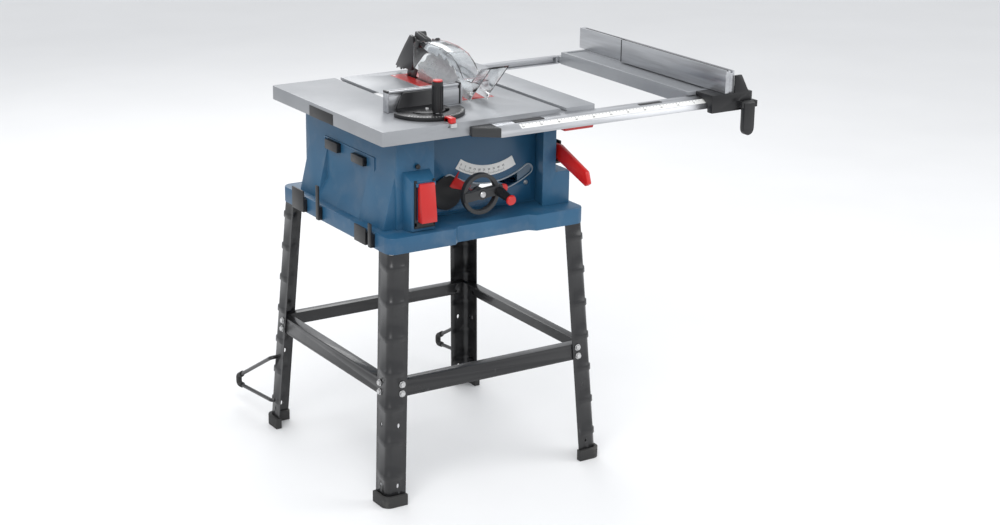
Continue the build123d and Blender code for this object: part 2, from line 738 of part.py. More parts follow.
def makeMotor():
    motor = alongX(motorRadius, *motorX, motorY, motorZ)
    motor -= alongX(motorRadius - 6, motorX[0] + 14, motorX[1] - 8, motorY, motorZ)
    motor -= alongX(13, motorX[0] + 4, motorX[0] + 15, motorY, motorZ)
    return motor - alongX(13, motorX[1] - 9, motorX[1] + 1, motorY, motorZ)


def makeBearings():
    group = Part()
    for x0, x1, outer, bore, at in ((caseX[0] + 30, caseX[0] + 41, 17.5, arborRadius, (bladeY, arborZ)),
                                    (caseX[0] + 4, caseX[0] + 12, 13, 5, (bladeY, arborZ)),
                                    (motorX[0] + 4, motorX[0] + 12, 13, 6, (motorY, motorZ)),
                                    (motorX[1] - 8, motorX[1], 13, 6, (motorY, motorZ))):
        group += alongX(outer, x0, x1, *at) - alongX(bore + shaftGap, x0 - 1, x1 + 1, *at)
    return group


def makeScrew():
    screw = alongZ(screwRadius, barZ[1] + 0.5, 872, shaftX, screwY) + alongZ(4, barZ[0], barZ[1] + 1,
                                                                             shaftX, screwY)
    low = shaftZ + mitreGearIn
    high = shaftZ + mitreGearOut
    cone = Pos(shaftX, screwY, (low + high) / 2) * Cone(mitreGearIn - 0.5, mitreGearOut - 0.5, high - low)
    return screw + cone


def makeShaft():
    end = screwY - mitreGearIn
    shaft = alongY(shaftRadius, wheelY[0] - 2, end, shaftX, shaftZ)
    length = mitreGearOut - mitreGearIn
    cone = Rot(90, 0, 0) * Cone(mitreGearIn - 0.5, mitreGearOut - 0.5, length)
    return shaft + Pos(shaftX, end - length / 2, shaftZ) * cone


# ---------------------------------------------------------------- handwheel and its lock
turn = math.radians(crankAngle)
knobX = shaftX + crankReach * math.cos(turn)
knobZ = shaftZ + crankReach * math.sin(turn)
knobTilt = Pos(knobX, wheelY[0], knobZ) * Rot(90 + knobDroop, 0, 0)


def makeWheel():
    wheel = alongY(wheelRadius, wheelY[0] + 4, wheelY[1] - 2, shaftX, shaftZ)
    wheel -= alongY(wheelRadius - wheelRim, wheelY[0], wheelY[1] + 1, shaftX, shaftZ)
    arm = block(-wheelRadius + 2, wheelRadius + 8, wheelY[0], wheelY[1] - 4, -crankArm / 2, crankArm / 2)
    wheel += Pos(shaftX, 0, shaftZ) * Rot(0, -crankAngle, 0) * arm
    wheel += alongY(14, wheelY[0], wheelY[1], shaftX, shaftZ)
    wheel -= alongY(shaftRadius, wheelY[0] - 2, wheelY[1] + 1, shaftX, shaftZ)
    return wheel + knobTilt * Pos(0, 0, knobLength / 2 - 4) * Cylinder(4, knobLength)


def makeKnob():
    knob = Pos(0, 0, 3 + knobLength / 2) * Cone(12, 10, knobLength) + Pos(0, 0,
                                                                          5 + knobLength) * Cylinder(10, 6)
    return knobTilt * (knob - Pos(0, 0, knobLength / 2 - 2) * Cylinder(4 + shaftGap, knobLength + 4))


def makeLockLever():
    lever = alongY(14, *lockY, shaftX, shaftZ) + block(shaftX, shaftX + lockReach, *lockY, shaftZ - 7,
                                                       shaftZ + 7)
    lever += alongY(9, *lockY, shaftX + lockReach, shaftZ)
    return lever - alongY(shaftRadius + shaftGap, lockY[0] - 1, lockY[1] + 1, shaftX, shaftZ)


# ---------------------------------------------------------------- rails and fence
def makeFrontRail():
    rail = plateYZ(railProfile, *railX)
    rail -= block(railX[0] - 1, railX[1] + 1, railBack - channelDeep, 0, *channelZ)
    return rail - block(railX[0] - 1, railX[1] + 1, -43, railBack - channelDeep - 4, 873, 885)


def makeEndCap():
    y0 = railProfile[-1][0]
    x0 = railX[0] - endCapLength
    return plateXY([(railX[0], y0), (railX[0], railBack), (x0, railBack), (x0, railBack - 12)], 870, 893)


def makeRearRail():
    rail = block(railX[0], beamExtX[0], *rearRailY, *rearRailZ)
    return rail - block(railX[0] - 1, beamExtX[0] - 10, rearRailY[0] - 1, rearRailY[1] - 4, *channelZ)


def makeExtension():
    x0, x1 = beamExtX
    beam = block(x0, x1, *beamExtY, 872, tableTop) + block(x0, x1, beamOverhang, 1, 896.5, tableTop)
    beam -= block(x0 + 4, x1 - 4, beamExtY[0] + 4, beamExtY[1] - 4, 871, tableTop - 8)
    beam -= block(x0 + 10, x1 - 6, beamOverhang + 14, beamExtY[1] - 10, tableTop - beamTrough, tableTop + 1)
    return beam + block(x0, x1, beamExtY[1], rearRailY[1], 873, 891)


def makeRailLever():
    lever = block(leverTip, leverAt[0], leverAt[1] - 18, leverAt[1] + 4, *leverZ)
    lever += alongZ(11, *leverZ, *leverAt)
    return lever - alongZ(pinRadius + shaftGap, leverZ[0] - 1, leverZ[1] + 1, *leverAt)


def makeFenceBody():
    x0, x1 = fenceX
    body = block(x0, x1, *fenceY, *fenceZ)
    body -= block(x0 + 3, x1 - 3, fenceY[0] + 4, fenceY[1] + 1, fenceZ[0] + 3, fenceZ[1] - 10)
    body -= block((x0 + x1) / 2 - 3, (x0 + x1) / 2 + 3, fenceY[0] - 1, fenceY[1] + 1, fenceZ[1] - 6,
                  fenceZ[1] + 1)
    return body + block(x0, x1, fenceY[1], fenceY[1] + 14, fenceZ[0], fenceZ[1])


def makeFencePlate():
    x1 = fenceX[0] - slideGap
    x0 = x1 - fencePlateThick
    plate = block(x0, x1, *fencePlateY, *fencePlateZ)
    return plate - block(x0 + 3, x0 + 7, fencePlateY[0] - 1, fencePlateY[1] + 1, fencePlateZ[1] - 3,
                         fencePlateZ[1] + 1)


def makeCarriage():
    x0, x1 = carriageX
    saddle = [(carriageFront, 862), (-57, 862), (-56.5, 871), (-50.5, 886), (-33.5, 893.5), (-26, 895.3),
              (-9.5, 896.3), (-9.5, fenceZ[0]), (carriageFront, fenceZ[0])]
    carriage = plateYZ(saddle, x0, x1)
    carriage += plateXZ([(fenceX[1], 950), (970, 950), (x1, 886), (x1, fenceZ[0] - 1),
                         (fenceX[1], fenceZ[0] - 1)],
                        carriageFront, -69.7)
    y, z = handleAt
    for a in (handleX[0] - 8, handleX[1] + 0.5):
        carriage += block(a, a + 7.5, y - 8, carriageFront, z - 8, z + 8)
    carriage += alongX(3, handleX[0] - 2, handleX[1] + 2, y, z)
    return carriage + alongX(7, x1, x1 + 22, -64, 872)


def makeFenceHandle():
    y, z = handleAt
    x0, x1 = handleX
    handle = alongX(9, x0, x1, y, z) + block(x0, x1, y - 9, y + 5, handleBottom + 16, z)
    handle += alongY(16, y - 9, y + 5, (x0 + x1) / 2, handleBottom + 16)
    return handle - alongX(3 + shaftGap, x0 - 1, x1 + 1, y, z)


# ---------------------------------------------------------------- mitre gauge
def makeMitreBar():
    half = slotWidth / 2 - slideGap
    x = leftSlotX
    bar = block(x - half, x + half, *mitreBarY, mitreBarBottom, tableTop - 0.1)
    bar += block(x - 7, x + 7, 8, 22, tableTop - 0.1, mitreBaseZ[1])
    bar += alongZ(pinRadius, tableTop - 0.1, mitreBaseZ[1] + 3, *mitreAt)
    return bar + alongZ(pinRadius, tableTop - 0.1, mitreKnobZ[0] + 30, x, mitreKnobY)


def makeMitreHead():
    x, y = mitreAt
    head = alongZ(mitreDisc, *mitreBaseZ, x, y) - block(x - 100, x + 100, y, y + 100, 900, 920)
    head += block(x - 58, x + 58, y - 1, mitreFenceY[0], *mitreBaseZ)
    head += plateXZ([(x - 58, mitreBaseZ[1]), (x + 58, mitreBaseZ[1]), (x + 42, 950), (x - 42, 950)],
                    mitreFenceY[0] - 8, mitreFenceY[0])
    head -= alongZ(pinRadius + shaftGap, 900, 920, x, y)
    reach = y - mitreKnobY
    track = alongZ(reach + 5, 900, 920, x, y) - alongZ(reach - 5, 899, 921, x, y)
    far = 2 * reach
    wedge = plateXY([(x, y), (x - far * 0.95, y - far * 0.3), (x - far * 0.7, y - far),
                     (x + far * 0.7, y - far),
                     (x + far * 0.95, y - far * 0.3)], 900, 920)
    return head - (track & wedge)


def makeMitreFence():
    x0, x1 = mitreFenceX
    fence = block(x0, x1, *mitreFenceY, mitreBaseZ[0], mitreFenceTop)
    fence -= block(x0 - 1, x1 + 1, mitreFenceY[0] - 1, mitreFenceY[0] + 4, mitreFenceTop - 12,
                   mitreFenceTop - 5)
    for a, b in ((x0 - mitreStop, x0), (x1, x1 + mitreStop)):
        fence += block(a, b, mitreFenceY[0] - 6, mitreFenceY[1], mitreBaseZ[0], mitreFenceTop - 3)
    return fence


def makeMitreKnob():
    z0, z1 = mitreKnobZ
    knob = alongZ(mitreKnobRadius, z0, z1, leftSlotX, mitreKnobY)
    return knob - alongZ(pinRadius + shaftGap, z0 - 1, z0 + 31, leftSlotX, mitreKnobY)


# ---------------------------------------------------------------- switches and push stick
def makeCover():
    x0, x1 = coverX
    z0, z1 = coverZ
    y = coverBack
    cover = plateYZ([(y - 9, z1), (y, z1), (y, z0), (y - coverProud, z0), (y - coverProud, z0 + 12)], x0,
                    x1)
    cover -= plateYZ([(y - 6, z1 - 12), (y + 1, z1 - 12), (y + 1, z0 + 3), (y - coverProud + 4, z0 + 3),
                      (y - coverProud + 4, z0 + 12)], x0 + 3, x1 - 3)
    return cover - alongX(2 + shaftGap, x0 - 1, x1 + 1, switchFront - 5, z1 - 3)


def makeButton(z):
    x = sum(coverX) / 2
    button = alongY(buttonRadius, switchFront - 4, switchFront + 3.5, x, z)
    return button + alongY(3, switchFront + 3.5, switchFront + 20, x, z)


def makeReset():
    y = bodyY[0]
    return alongY(resetRadius, y - 6, y - 3, *resetAt) + alongY(resetRadius - 2, y - 3, y + 10, *resetAt)


def makeStick():
    x0, x1 = stickX
    points = [(-64, 729), (-52, 721), (60, 757), (220, 775), (330, 775), (330, 792), (316, 798),
              (60, 798), (-54, 757)]
    return plateYZ(points, x0, x1)


def makeHolder():
    """Clips on the right wall that the push stick slides into."""
    right = bodyX[1]
    group = Part()
    for y0, y1, z in ((75, 115, 748), (230, 270, 768)):
        clip = block(right, stickX[1] + 5, y0, y1, z, 804)
        group += clip - block(stickX[0] - 0.5, stickX[1] + 0.5, y0 - 1, y1 + 1, z + 6, 805)
    return group


# ---------------------------------------------------------------- everything together
def makeNodes():
    nodes = {}
    makeStand(nodes)
    nodes["table_top"] = makeTable()
    nodes["table_insert"] = makeInsert()
    nodes["housing"] = makeHousing()
    nodes["front_panel"] = makePanel()
    nodes["base_flange"] = makeFlange()
    nodes["bevel_scale"] = makeScale()
    nodes["trunnions"] = makeTrunnions()
    nodes["switch_box"] = makeSwitchBox()
    nodes["body_fittings"] = makeClips() + makeHolder() + makeGland()
    nodes["dust_port"] = makePort()
    nodes["tilt_frame"] = makeTiltFrame()
    nodes["guide_rods"] = makeRods()
    nodes["bevel_pointer"] = makePointer()
    nodes["riving_knife"] = makeKnife()
    nodes["kickback_pawls"] = makePawls()
    nodes["guard_bracket"] = makeGuardBracket()
    nodes["blade_guard"] = makeGuard()
    nodes["gearcase"] = makeGearcase()
    nodes["motor_housing"] = makeMotor()
    nodes["drive_bearings"] = makeBearings()
    nodes["saw_blade"] = makeBlade()
    nodes["arbor_shaft"] = makeArbor()
    nodes["outer_flange"] = makeOuterFlange()
    nodes["arbor_nut"] = makeArborNut()
    nodes["motor_rotor"] = makeRotor()
    nodes["height_screw"] = makeScrew()
    nodes["crank_shaft"] = makeShaft()
    nodes["handwheel"] = makeWheel()
    nodes["crank_knob"] = makeKnob()
    nodes["bevel_lock_lever"] = makeLockLever()
    nodes["front_rail"] = makeFrontRail()
    nodes["rail_end_cap"] = makeEndCap()
    nodes["rear_rail"] = makeRearRail()
    nodes["extension_beam"] = makeExtension()
    nodes["rail_lever"] = makeRailLever()
    nodes["fence_body"] = makeFenceBody()
    nodes["fence_plate"] = makeFencePlate()
    nodes["fence_carriage"] = makeCarriage()
    nodes["fence_handle"] = makeFenceHandle()
    nodes["mitre_bar"] = makeMitreBar()
    nodes["mitre_head"] = makeMitreHead()
    nodes["mitre_fence"] = makeMitreFence()
    nodes["mitre_knob"] = makeMitreKnob()
    nodes["switch_cover"] = makeCover()
    nodes["on_button"] = makeButton(onButtonZ)
    nodes["off_button"] = makeButton(offButtonZ)
    nodes["reset_button"] = makeReset()
    nodes["push_stick"] = makeStick()
    return nodes


nodes = makeNodes()
boxes = [shape.bounding_box() for shape in nodes.values()]
lowX = min(box.min.X for box in boxes)
highX = max(box.max.X for box in boxes)
lowY = min(box.min.Y for box in boxes)
highY = max(box.max.Y for box in boxes)
shift = (-(lowX + highX) / 2, -(lowY + highY) / 2, 0.0)

if __name__ == "__main__":
    os.makedirs("parts", exist_ok=True)
    for name, shape in nodes.items():
        export_step(Pos(*shift) * shape, "parts/" + name + ".step")
    print(len(nodes), "nodes, moved by", [round(value, 2) for value in shift])
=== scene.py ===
import json
import math
import bmesh
import bpy
from mathutils import Matrix, Vector


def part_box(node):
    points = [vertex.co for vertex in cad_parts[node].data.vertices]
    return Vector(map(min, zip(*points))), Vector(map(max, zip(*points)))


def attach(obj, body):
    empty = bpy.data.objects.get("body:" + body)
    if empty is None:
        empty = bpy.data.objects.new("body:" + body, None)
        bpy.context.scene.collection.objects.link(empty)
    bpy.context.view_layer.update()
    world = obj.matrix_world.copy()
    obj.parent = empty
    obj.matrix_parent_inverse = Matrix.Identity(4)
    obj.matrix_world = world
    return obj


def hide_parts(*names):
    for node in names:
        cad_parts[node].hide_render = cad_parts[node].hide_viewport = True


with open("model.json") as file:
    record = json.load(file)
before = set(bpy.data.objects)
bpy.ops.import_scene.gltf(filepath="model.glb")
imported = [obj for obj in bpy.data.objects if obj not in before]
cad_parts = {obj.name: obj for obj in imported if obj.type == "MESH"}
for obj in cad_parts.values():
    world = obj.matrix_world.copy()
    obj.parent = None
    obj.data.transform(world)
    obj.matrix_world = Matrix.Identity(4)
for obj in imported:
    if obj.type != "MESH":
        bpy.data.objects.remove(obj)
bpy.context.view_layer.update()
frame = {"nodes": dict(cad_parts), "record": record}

nodeSlots = {part["node"]: part["material_slot"] for part in frame["record"]["subparts"]}

# The saw is laid out in millimetres from the floor under the table's front left corner.
insertCorner = Vector((0.312, 0.186, 0.9015))
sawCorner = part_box("table_insert")[0] - insertCorner


def at(x, y, z):
    return sawCorner + Vector((x, y, z)) / 1000


# ------------------------------------------------ shader helpers
class Value:
    def __init__(self, shader, socket):
        self.shader = shader
        self.socket = socket

    def calc(self, operation, first, second):
        return self.shader.node("ShaderNodeMath", {"operation": operation}, {0: first, 1: second})

    def __add__(self, other):
        return self.calc("ADD", self, other)

    __radd__ = __add__

    def __mul__(self, other):
        return self.calc("MULTIPLY", self, other)

    __rmul__ = __mul__

    def __sub__(self, other):
        return self.calc("SUBTRACT", self, other)

    def __rsub__(self, other):
        return self.calc("SUBTRACT", other, self)


class Shader:
    def __init__(self, name):
        self.material = bpy.data.materials.new(name)
        self.material.use_nodes = True
        self.tree = self.material.node_tree
        self.base = self.tree.nodes["Principled BSDF"]

    def node(self, kind, settings=None, sockets=None, output=0):
        made = self.tree.nodes.new(kind)
        for key, value in (settings or {}).items():
            if key == "stops":
                while len(made.color_ramp.elements) < len(value):
                    made.color_ramp.elements.new(0.5)
                for element, (place, colour) in zip(made.color_ramp.elements, value):
                    element.position = place
                    element.color = colour
            else:
                setattr(made, key, value)
        for key, value in (sockets or {}).items():
            self.feed(made.inputs[key], value)
        return Value(self, made.outputs[output])

    def feed(self, socket, value):
        if isinstance(value, Value):
            self.tree.links.new(value.socket, socket)
        else:
            socket.default_value = value

    def set(self, **sockets):
        for key, value in sockets.items():
            self.feed(self.base.inputs[key.replace("_", " ")], value)

    def noise(self, scale, detail=4.0, stretch=(1, 1, 1)):
        place = self.node("ShaderNodeTexCoord", output=3)
        place = self.node("ShaderNodeMapping", {}, {"Vector": place, "Scale": stretch})
        return self.node("ShaderNodeTexNoise", {}, {"Vector": place, "Scale": scale, "Detail": detail})

    def ramp(self, factor, low, high, dark=0.0, light=1.0):
        stops = [(low, (dark, dark, dark, 1)), (high, (light, light, light, 1))]
        return self.node("ShaderNodeValToRGB", {"stops": stops}, {"Fac": factor})

    def mix(self, factor, first, second):
        return self.node("ShaderNodeMix", {"data_type": "RGBA"}, {0: factor, 6: first, 7: second}, 2)

    def bump(self, height, strength, distance):
        values = {"Height": height, "Strength": strength, "Distance": distance}
        return self.node("ShaderNodeBump", {}, values)


def colour(r, g, b):
    return (r, g, b, 1.0)


def moulded(name, main, second, rough=0.42, grain=900.0, relief=0.25, dust=0.0, coat=0.0):
    s = Shader(name)
    cloud = s.noise(7.0, 5.0)
    fine = s.noise(grain, 2.0)
    tone = s.mix(s.ramp(cloud, 0.35, 0.68), colour(*main), colour(*second))
    if dust:
        film = s.ramp(s.noise(22.0, 8.0), 0.52, 0.72) * dust
        tone = s.mix(film, tone, colour(0.42, 0.40, 0.36))
    s.set(Base_Color=tone, Roughness=s.ramp(cloud, 0.3, 0.7, rough - 0.06, rough + 0.08))
    s.set(Normal=s.bump(fine, relief, 0.0002))
    s.base.inputs["Coat Weight"].default_value = coat
    s.base.inputs["Coat Roughness"].default_value = 0.2
    return s.material


def castPaint(name, main, second, rough=0.4):
    s = Shader(name)
    cloud = s.noise(5.0, 6.0)
    pits = s.noise(420.0, 3.0)
    marks = s.ramp(s.noise(60.0, 6.0, (0.25, 1.6, 1)), 0.66, 0.74) * 0.22
    tone = s.mix(s.ramp(cloud, 0.35, 0.7), colour(*main), colour(*second))
    tone = s.mix(marks, tone, colour(0.30, 0.30, 0.31))
    s.set(Base_Color=tone, Roughness=s.ramp(cloud, 0.3, 0.7, rough - 0.05, rough + 0.1))
    s.set(Normal=s.bump(pits, 0.18, 0.0003), Metallic=0.25)
    return s.material


def drawnMetal(name, main, stretch, rough=0.3, scale=120.0):
    s = Shader(name)
    lines = s.noise(scale, 5.0, stretch)
    cloud = s.noise(6.0, 4.0)
    tone = s.mix(s.ramp(lines, 0.35, 0.65), colour(*[c * 0.8 for c in main]), colour(*main))
    rougher = s.ramp(lines, 0.3, 0.7, rough - 0.06, rough + 0.1) + s.ramp(cloud, 0.4, 0.7) * 0.06
    s.set(Base_Color=tone, Roughness=rougher, Metallic=0.9, Normal=s.bump(lines, 0.12, 0.0002))
    return s.material


def powderCoat(name, main):
    s = Shader(name)
    orange = s.noise(650.0, 2.0)
    cloud = s.noise(9.0, 5.0)
    scuffs = s.ramp(s.noise(38.0, 9.0, (1, 1, 0.4)), 0.68, 0.75) * 0.35
    tone = s.mix(scuffs, colour(*main), colour(0.16, 0.16, 0.165))
    s.set(Base_Color=tone, Roughness=s.ramp(cloud, 0.3, 0.7, 0.26, 0.42), Normal=s.bump(orange, 0.2, 0.0002))
    s.base.inputs["Coat Weight"].default_value = 0.25
    return s.material


def clearPlastic(name):
    s = Shader(name)
    haze = s.noise(40.0, 7.0, (1, 0.3, 1))
    s.set(Base_Color=s.mix(s.ramp(haze, 0.5, 0.8), colour(0.93, 0.95, 0.96), colour(0.80, 0.83, 0.85)))
    s.set(Roughness=s.ramp(haze, 0.4, 0.75, 0.05, 0.22), Normal=s.bump(haze, 0.05, 0.0002))
    s.base.inputs["IOR"].default_value = 1.35
    s.base.inputs["Transmission Weight"].default_value = 1.0
    return s.material


finishes = {
    "table_paint": castPaint("tablePaint", (0.30, 0.31, 0.325), (0.25, 0.26, 0.275)),
    "red_paint": moulded("insertRed", (0.50, 0.014, 0.012), (0.42, 0.010, 0.010), 0.36),
    "blue_plastic": moulded("housingBlue", (0.016, 0.085, 0.17), (0.022, 0.105, 0.20), 0.40, dust=0.05),
    "blue_panel": moulded("panelBlue", (0.013, 0.075, 0.155), (0.018, 0.092, 0.18), 0.30, coat=0.2),
    "blue_flange": moulded("flangeBlue", (0.014, 0.078, 0.16), (0.02, 0.098, 0.19), 0.42, dust=0.08),
    "white_plate": moulded("scaleWhite", (0.80, 0.80, 0.78), (0.74, 0.74, 0.72), 0.35),
    "cast_alloy": castPaint("castAlloy", (0.42, 0.43, 0.44), (0.34, 0.35, 0.36), 0.45),
    "black_plastic": moulded("blackPlastic", (0.006, 0.006, 0.007), (0.010, 0.010, 0.011), 0.38),
    "bright_steel": drawnMetal("brightSteel", (0.62, 0.62, 0.62), (0.15, 1, 1)),
    "red_plastic": moulded("redPlastic", (0.52, 0.012, 0.010), (0.44, 0.009, 0.008), 0.34, coat=0.15),
    "black_steel": powderCoat("blackSteel", (0.02, 0.02, 0.022)),
    "clear_guard": clearPlastic("clearGuard"),
    "grey_plastic": moulded("greyPlastic", (0.018, 0.019, 0.02), (0.028, 0.029, 0.031), 0.42),
    "rail_aluminium": drawnMetal("railAluminium", (0.56, 0.57, 0.59), (0.06, 1, 1), 0.34),
    "green_plastic": moulded("greenPlastic", (0.03, 0.25, 0.06), (0.02, 0.2, 0.05), 0.35),
    "rubber": moulded("footRubber", (0.02, 0.02, 0.02), (0.035, 0.034, 0.033), 0.72, 500.0, 0.5, dust=0.2),
    "stand_paint": powderCoat("standBlack", (0.008, 0.008, 0.009)),
}
finishes["fence_aluminium"] = drawnMetal("fenceAluminium", (0.54, 0.55, 0.57), (1, 0.06, 1), 0.34)
finishes["ink"] = moulded("printInk", (0.02, 0.02, 0.022), (0.03, 0.03, 0.03), 0.5)
finishes["bladeSteel"] = drawnMetal("bladeSteel", (0.66, 0.66, 0.67), (1, 1, 1), 0.26, 70.0)
finishes["carbide"] = drawnMetal("carbideTip", (0.40, 0.40, 0.42), (1, 1, 1), 0.22)
print("finishes made:", len(finishes))


# ------------------------------------------------ mesh helpers
def keep(name, mesh, body, slot, finish=None):
    piece = bpy.data.objects.new(name, mesh)
    bpy.context.scene.collection.objects.link(piece)
    mesh.materials.clear()
    mesh.materials.append(finishes[finish or slot])
    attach(piece, body)
    return piece


def settle(piece):
    graph = bpy.context.evaluated_depsgraph_get()
    mesh = bpy.data.meshes.new_from_object(piece.evaluated_get(graph), depsgraph=graph)
    piece.modifiers.clear()
    old = piece.data
    piece.data = mesh
    bpy.data.meshes.remove(old)
    return piece


def bodyOf(node):
    for body, members in frame["record"]["behaviour"]["bodies"].items():
        if node in members:
            return body


def rounded(piece, width, segments=2, angle=32):
    mod = piece.modifiers.new("edge", "BEVEL")
    mod.width = width / 1000
    mod.segments = segments
    mod.limit_method = "ANGLE"
    mod.angle_limit = math.radians(angle)
    mod.use_clamp_overlap = True
    mod.miter_outer = "MITER_ARC"
    for face in piece.data.polygons:
        face.use_smooth = True
    piece.data.set_sharp_from_angle(angle=math.radians(40))
    settle(piece)
    for face in piece.data.polygons:
        face.use_smooth = True
    piece.data.set_sharp_from_angle(angle=math.radians(40))
    return piece


def refine(node, width, finish=None, segments=2):
    mesh = frame["nodes"][node].data.copy()
    for name in ("custom_normal", "UVMap"):
        if name in mesh.attributes:
            mesh.attributes.remove(mesh.attributes[name])
    bm = bmesh.new()
    bm.from_mesh(mesh)
    bmesh.ops.remove_doubles(bm, verts=bm.verts, dist=2e-6)
    bmesh.ops.dissolve_limit(bm, angle_limit=math.radians(0.6), verts=bm.verts, edges=bm.edges)
    bm.to_mesh(mesh)
    bm.free()
    piece = keep("fine_" + node, mesh, bodyOf(node), nodeSlots[node], finish)
    rounded(piece, width, segments)
    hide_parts(node)
    return piece


def meshOf(points, faces, name):
    mesh = bpy.data.meshes.new(name)
    mesh.from_pydata([tuple(p) for p in points], [], faces)
    mesh.validate()
    bm = bmesh.new()
    bm.from_mesh(mesh)
    bmesh.ops.remove_doubles(bm, verts=bm.verts, dist=1e-6)
    bmesh.ops.recalc_face_normals(bm, faces=bm.faces)
    bm.to_mesh(mesh)
    bm.free()
    return mesh


def lathe(profile, place, turn, steps=48):
    points = []
    faces = []
    for step in range(steps):
        angle = 2 * math.pi * step / steps
        for radius, height in profile:
            local = Vector((radius * math.cos(angle), radius * math.sin(angle), height)) / 1000
            points.append(place + turn @ local)
    count = len(profile)
    for step in range(steps):
        after = (step + 1) % steps
        for row in range(count - 1):
            here = step * count + row
            there = after * count + row
            faces.append((here, there, there + 1, here + 1))
    return points, faces


def turned(name, profile, place, turn, body, slot, finish=None, edge=0.0):
    points, faces = lathe(profile, place, turn)
    piece = keep(name, meshOf(points, faces, name), body, slot, finish)
    for face in piece.data.polygons:
        face.use_smooth = True
    piece.data.set_sharp_from_angle(angle=math.radians(35))
    if edge:
        rounded(piece, edge)
    return piece


def slab(name, low, high, body, slot, edge, finish=None, turn=None, pivot=None):
    bm = bmesh.new()
    bmesh.ops.create_cube(bm, size=1)
    middle = (low + high) / 2
    for vert in bm.verts:
        vert.co = middle + Vector([vert.co[i] * (high[i] - low[i]) for i in range(3)])
        if turn is not None:
            vert.co = pivot + turn @ (vert.co - pivot)
    mesh = bpy.data.meshes.new(name)
    bm.to_mesh(mesh)
    bm.free()
    return rounded(keep(name, mesh, body, slot, finish), edge)


# ------------------------------------------------ repeats by Geometry Nodes
def repeatTree(name, sides, sizes, material):
    tree = bpy.data.node_groups.new(name, "GeometryNodeTree")
    face = tree.interface
    face.new_socket("Geometry", in_out="INPUT", socket_type="NodeSocketGeometry")
    for label, size in sizes.items():
        face.new_socket(label, in_out="INPUT", socket_type="NodeSocketFloat").default_value = size
    face.new_socket("Geometry", in_out="OUTPUT", socket_type="NodeSocketGeometry")
    add = tree.nodes.new
    link = tree.links.new
    entry = add("NodeGroupInput")
    leave = add("NodeGroupOutput")
    points = add("GeometryNodeMeshToPoints")
    link(entry.outputs["Geometry"], points.inputs["Mesh"])
    if sides:
        shape = add("GeometryNodeMeshCylinder")
        shape.inputs["Vertices"].default_value = sides
        link(entry.outputs["Radius"], shape.inputs["Radius"])
        link(entry.outputs["Height"], shape.inputs["Depth"])
    else:
        shape = add("GeometryNodeMeshCube")
        size = add("ShaderNodeCombineXYZ")
        for index, label in enumerate(("Length", "Width", "Height")):
            link(entry.outputs[label], size.inputs[index])
        link(size.outputs[0], shape.inputs["Size"])
    turn = add("GeometryNodeInputNamedAttribute")
    turn.data_type = "FLOAT_VECTOR"
    turn.inputs["Name"].default_value = "turn"
    stretch = add("GeometryNodeInputNamedAttribute")
    stretch.data_type = "FLOAT_VECTOR"
    stretch.inputs["Name"].default_value = "stretch"
    spin = add("FunctionNodeEulerToRotation")
    link(turn.outputs["Attribute"], spin.inputs[0])
    copies = add("GeometryNodeInstanceOnPoints")
    link(points.outputs["Points"], copies.inputs["Points"])
    link(shape.outputs["Mesh"], copies.inputs["Instance"])
    link(spin.outputs[0], copies.inputs["Rotation"])
    link(stretch.outputs["Attribute"], copies.inputs["Scale"])
    real = add("GeometryNodeRealizeInstances")
    link(copies.outputs["Instances"], real.inputs[0])
    dress = add("GeometryNodeSetMaterial")
    dress.inputs["Material"].default_value = material
    link(real.outputs[0], dress.inputs["Geometry"])
    link(dress.outputs["Geometry"], leave.inputs[0])
    return tree


def repeated(name, spots, sides, sizes, body, slot, finish=None, edge=0.0):
    mesh = bpy.data.meshes.new(name)
    mesh.from_pydata([tuple(spot[0]) for spot in spots], [], [])
    turns = mesh.attributes.new("turn", "FLOAT_VECTOR", "POINT")
    scales = mesh.attributes.new("stretch", "FLOAT_VECTOR", "POINT")
    for index, spot in enumerate(spots):
        turns.data[index].vector = spot[1]
        scales.data[index].vector = spot[2] if len(spot) > 2 else (1, 1, 1)
    piece = keep(name, mesh, body, slot, finish)
    tree = repeatTree(name + "Tree", sides, sizes, finishes[finish or slot])
    mod = piece.modifiers.new("repeat", "NODES")
    mod.node_group = tree
    for item in tree.interface.items_tree:
        if item.in_out == "INPUT" and item.name in sizes:
            mod[item.identifier] = sizes[item.name]
    settle(piece)
    if edge:
        rounded(piece, edge, 1)
    return piece


# ------------------------------------------------ carried-over parts with softened edges
softened = {
    "table_top": 1.6, "table_insert": 0.5, "housing": 2.2, "front_panel": 0.8, "base_flange": 2.5,
    "trunnions": 0.8, "switch_box": 2.5, "body_fittings": 1.2, "dust_port": 0.8, "tilt_frame": 1.0,
    "bevel_pointer": 0.4, "riving_knife": 0.4, "kickback_pawls": 0.5, "guard_bracket": 1.0,
    "blade_guard": 0.5,
    "gearcase": 1.0, "motor_housing": 1.0, "handwheel": 1.8, "bevel_lock_lever": 1.2, "front_rail": 0.8,
    "rail_end_cap": 2.0, "rear_rail": 0.8, "extension_beam": 1.0, "rail_lever": 2.0, "fence_body": 0.6,
    "fence_plate": 0.5, "fence_carriage": 1.8, "fence_handle": 2.5, "mitre_bar": 0.4, "mitre_head": 0.8,
    "mitre_fence": 0.5, "switch_cover": 1.8, "on_button": 0.8, "off_button": 0.8, "reset_button": 0.8,
    "beam_front": 0.6, "beam_rear": 0.6, "beam_left": 0.6, "beam_right": 0.6, "rubber_feet": 2.5,
    "outer_flange": 0.4, "arbor_nut": 0.5, "push_stick": 2.5,
}
metalOverride = {"fence_body": "fence_aluminium", "fence_plate": "fence_aluminium"}
fine = {}
for nodeName, edgeWidth in softened.items():
    fine[nodeName] = refine(nodeName, edgeWidth, metalOverride.get(nodeName))
for nodeName, nodeObject in frame["nodes"].items():
    nodeObject.data.materials.clear()
    nodeObject.data.materials.append(finishes[metalOverride.get(nodeName, nodeSlots[nodeName])])
